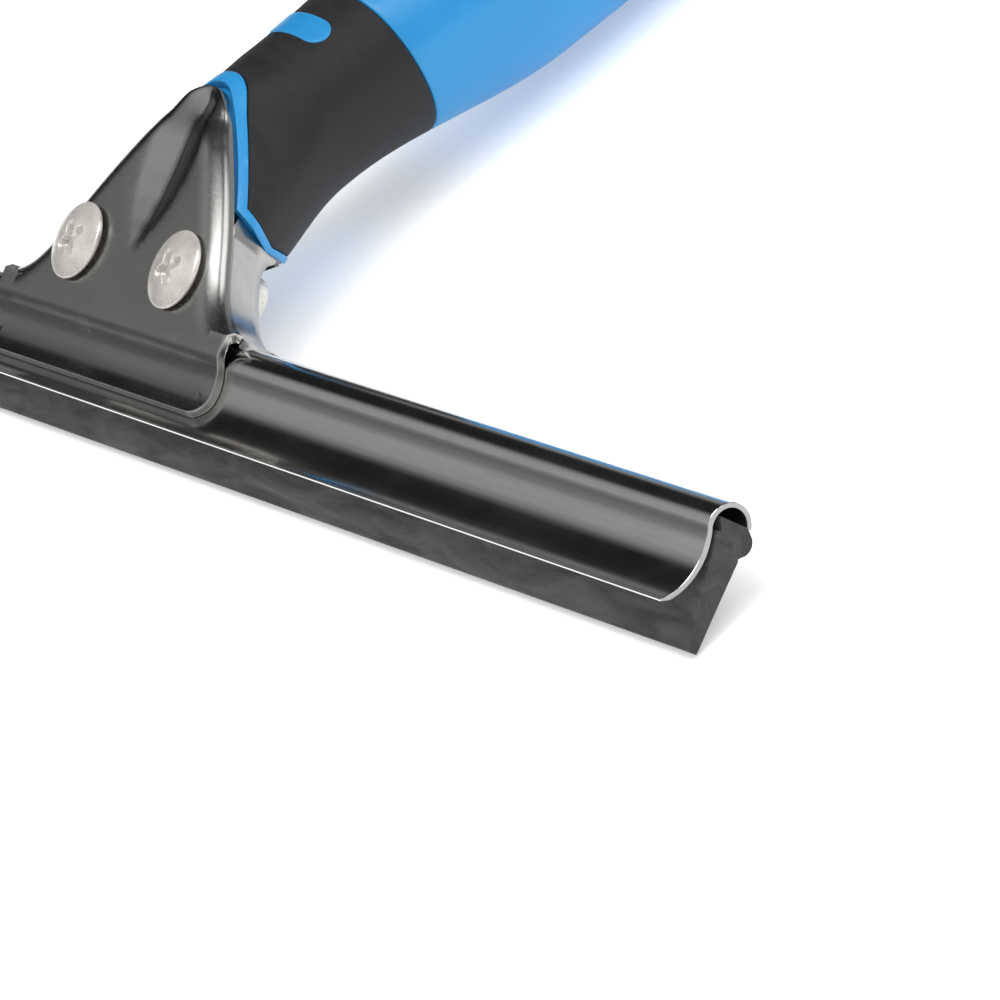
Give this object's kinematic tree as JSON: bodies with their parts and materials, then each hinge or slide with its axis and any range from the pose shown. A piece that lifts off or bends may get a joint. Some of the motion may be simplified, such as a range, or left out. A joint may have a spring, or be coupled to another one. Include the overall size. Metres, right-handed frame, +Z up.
{
  "type": "window cleaning squeegee",
  "caption": "Hand squeegee: a long steel channel holding a rubber blade, clamped in a screwed steel head on a leaning plastic handle with a soft neck and a pole socket.",
  "frame": {"origin": "centre of the part's box in plan, on the surface it lies on", "axes": "+X along the channel, +Y from the blade towards the handle's end, +Z up with the tool lying on its back, front side up"},
  "size_m": [0.351, 0.174, 0.037],
  "materials": {
    "channel_steel": "rolled, bright",
    "jaw_steel": "stamped, satin",
    "fastener_steel": "plated, bright",
    "blade_rubber": "matte with bloom",
    "blue_plastic": "satin gloss",
    "grip_rubber": "matte",
    "socket_plastic": "matte"
  },
  "bodies": {
    "handle": {"handle_core": "blue_plastic", "neck_grip": "grip_rubber", "head_collar": "blue_plastic", "grip_inlay": "blue_plastic", "pole_socket": "socket_plastic", "butt_cap": "grip_rubber", "rear_jaw": "jaw_steel", "clinch_nut_left": "fastener_steel", "clinch_nut_right": "fastener_steel", "tang_pin_lower": "fastener_steel", "tang_pin_upper": "fastener_steel"},
    "jaw": {"front_jaw": "jaw_steel"},
    "washer_left": {"spring_washer_left": "fastener_steel"},
    "washer_right": {"spring_washer_right": "fastener_steel"},
    "screw_left": {"clamp_screw_left": "fastener_steel"},
    "screw_right": {"clamp_screw_right": "fastener_steel"},
    "channel": {"channel": "channel_steel"},
    "blade": {"rubber_blade": "blade_rubber"}
  },
  "joints": [
    {"name": "jaw_open", "type": "hinge", "parent": "handle", "child": "jaw", "pos_m": [0, -0.03734, 0.03675], "axis": [-1, 0, 0], "range_deg": [0, 2.5]},
    {"name": "washer_left_slide", "type": "slide", "parent": "handle", "child": "washer_left", "axis": [0, -0.5177, 0.8556], "range_m": [0, 0.00158]},
    {"name": "washer_right_slide", "type": "slide", "parent": "handle", "child": "washer_right", "axis": [0, -0.5177, 0.8556], "range_m": [0, 0.00158]},
    {"name": "screw_left_turn", "type": "hinge", "parent": "washer_left", "child": "screw_left", "pos_m": [-0.0165, -0.06484, 0.02327], "axis": [0, -0.5177, 0.8556], "range_deg": [0, 567]},
    {"name": "screw_right_turn", "type": "hinge", "parent": "washer_right", "child": "screw_right", "pos_m": [0.0165, -0.06484, 0.02327], "axis": [0, -0.5177, 0.8556], "range_deg": [0, 567]},
    {"name": "channel_slide", "type": "slide", "parent": "handle", "child": "channel", "axis": [1, 0, 0], "range_m": [-0.135, 0.135]},
    {"name": "blade_slide", "type": "slide", "parent": "channel", "child": "blade", "axis": [1, 0, 0], "range_m": [-0.34, 0.34]}
  ],
  "couplings": [
    {"joint": "washer_left_slide", "follows": "jaw_open", "m_per_rad": 0.036},
    {"joint": "washer_right_slide", "follows": "jaw_open", "m_per_rad": 0.036},
    {"joint": "screw_left_turn", "follows": "jaw_open", "ratio": 226.19},
    {"joint": "screw_right_turn", "follows": "jaw_open", "ratio": 226.19}
  ]
}
